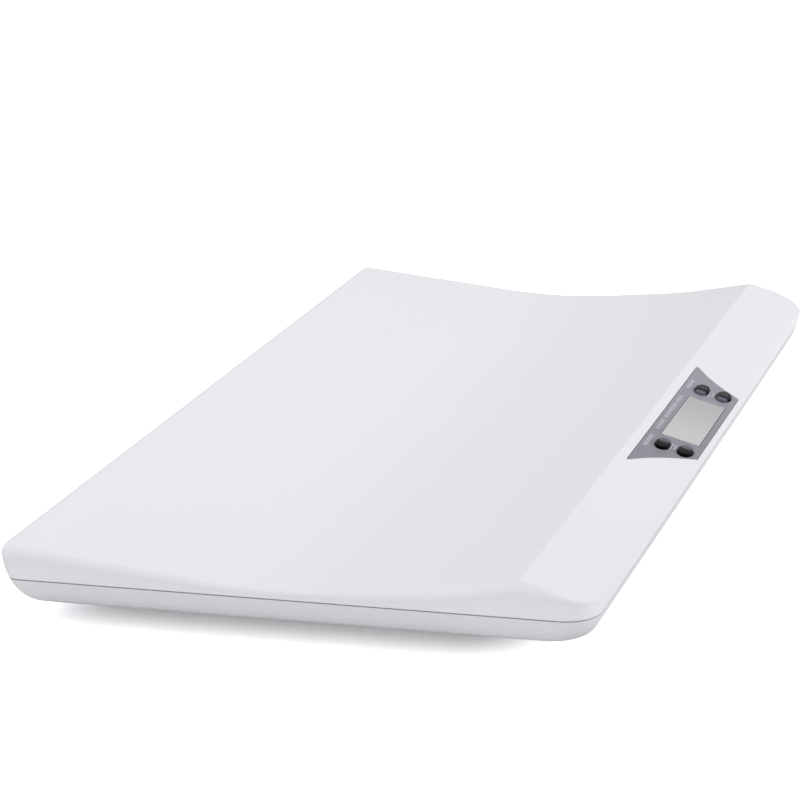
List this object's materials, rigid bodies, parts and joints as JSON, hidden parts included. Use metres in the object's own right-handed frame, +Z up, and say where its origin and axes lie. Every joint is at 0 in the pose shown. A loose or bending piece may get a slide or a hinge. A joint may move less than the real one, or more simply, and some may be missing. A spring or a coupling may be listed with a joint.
{
  "type": "digital baby scale",
  "caption": "Flat dished weighing platform for infants with a sloping control strip holding a display and push buttons, on load-cell feet.",
  "frame": {"origin": "on the table, under the middle of the scale", "axes": "+X along the length, +Y across to the plain rear edge, +Z up; the control strip runs along the -Y edge"},
  "size_m": [0.55, 0.28, 0.0404],
  "materials": {
    "white_abs": "fine satin moulded ABS",
    "base_abs": "fine satin moulded ABS",
    "grey_faceplate": "satin grey inlay",
    "display_lens": "glossy clear-fronted light grey",
    "liquid_crystal": "blank reflective display glass",
    "button_gloss": "high gloss black",
    "black_nylon": "matte moulded nylon",
    "white_nylon": "matte moulded nylon",
    "foot_rubber": "matte",
    "silicone": "matte",
    "circuit_board": "green solder mask",
    "chip_epoxy": "glossy epoxy drop",
    "zinc_steel": "zinc plated",
    "spring_steel": "nickel plated",
    "battery_sleeve": "shrink sleeve",
    "cable_jacket": "soft PVC",
    "lead_jacket": "soft PVC"
  },
  "bodies": {
    "root": {"tray_shell": "white_abs", "base_shell": "base_abs", "control_faceplate": "grey_faceplate", "display_window": "display_lens", "lcd_panel": "liquid_crystal", "lcd_frame": "black_nylon", "lcd_connector": "silicone", "control_board": "circuit_board", "controller_chip": "chip_epoxy", "cable_socket": "white_nylon", "battery_lead": "lead_jacket", "switch_body_upper_left": "zinc_steel", "switch_body_lower_left": "zinc_steel", "switch_body_upper_right": "zinc_steel", "switch_body_lower_right": "zinc_steel", "shell_screw_rear_left": "zinc_steel", "shell_screw_rear_middle": "zinc_steel", "shell_screw_rear_right": "zinc_steel", "shell_screw_front_left": "zinc_steel", "shell_screw_front_middle": "zinc_steel", "shell_screw_front_right": "zinc_steel", "board_screw_left": "zinc_steel", "board_screw_right": "zinc_steel", "foot_cup_rear_left": "black_nylon", "foot_pad_rear_left": "foot_rubber", "load_cell_rear_left": "zinc_steel", "cell_bracket_rear_left": "white_nylon", "sensor_cable_rear_left": "cable_jacket", "foot_cup_rear_right": "black_nylon", "foot_pad_rear_right": "foot_rubber", "load_cell_rear_right": "zinc_steel", "cell_bracket_rear_right": "white_nylon", "sensor_cable_rear_right": "cable_jacket", "foot_cup_front_left": "black_nylon", "foot_pad_front_left": "foot_rubber", "load_cell_front_left": "zinc_steel", "cell_bracket_front_left": "white_nylon", "sensor_cable_front_left": "cable_jacket", "foot_cup_front_right": "black_nylon", "foot_pad_front_right": "foot_rubber", "load_cell_front_right": "zinc_steel", "cell_bracket_front_right": "white_nylon", "sensor_cable_front_right": "cable_jacket", "battery_1": "battery_sleeve", "battery_contact_1": "spring_steel", "battery_2": "battery_sleeve", "battery_contact_2": "spring_steel", "battery_3": "battery_sleeve", "battery_contact_3": "spring_steel", "battery_4": "battery_sleeve", "battery_contact_4": "spring_steel"},
    "button_upper_left_key": {"button_upper_left": "button_gloss", "switch_plunger_upper_left": "black_nylon"},
    "button_lower_left_key": {"button_lower_left": "button_gloss", "switch_plunger_lower_left": "black_nylon"},
    "button_upper_right_key": {"button_upper_right": "button_gloss", "switch_plunger_upper_right": "black_nylon"},
    "button_lower_right_key": {"button_lower_right": "button_gloss", "switch_plunger_lower_right": "black_nylon"},
    "battery_cover": {"battery_door": "base_abs"}
  },
  "joints": [
    {"name": "button_press_upper_left", "type": "slide", "parent": "root", "child": "button_upper_left_key", "axis": [0, 0.2723, -0.9622], "range_m": [0, 0.0006], "stiffness_N_per_m": 3000},
    {"name": "button_press_lower_left", "type": "slide", "parent": "root", "child": "button_lower_left_key", "axis": [0, 0.2723, -0.9622], "range_m": [0, 0.0006], "stiffness_N_per_m": 3000},
    {"name": "button_press_upper_right", "type": "slide", "parent": "root", "child": "button_upper_right_key", "axis": [0, 0.2723, -0.9622], "range_m": [0, 0.0006], "stiffness_N_per_m": 3000},
    {"name": "button_press_lower_right", "type": "slide", "parent": "root", "child": "button_lower_right_key", "axis": [0, 0.2723, -0.9622], "range_m": [0, 0.0006], "stiffness_N_per_m": 3000},
    {"name": "battery_door_hinge", "type": "hinge", "parent": "root", "child": "battery_cover", "pos_m": [0, -0.0213, 0.005], "axis": [1, 0, 0], "range_deg": [0, 85]}
  ]
}
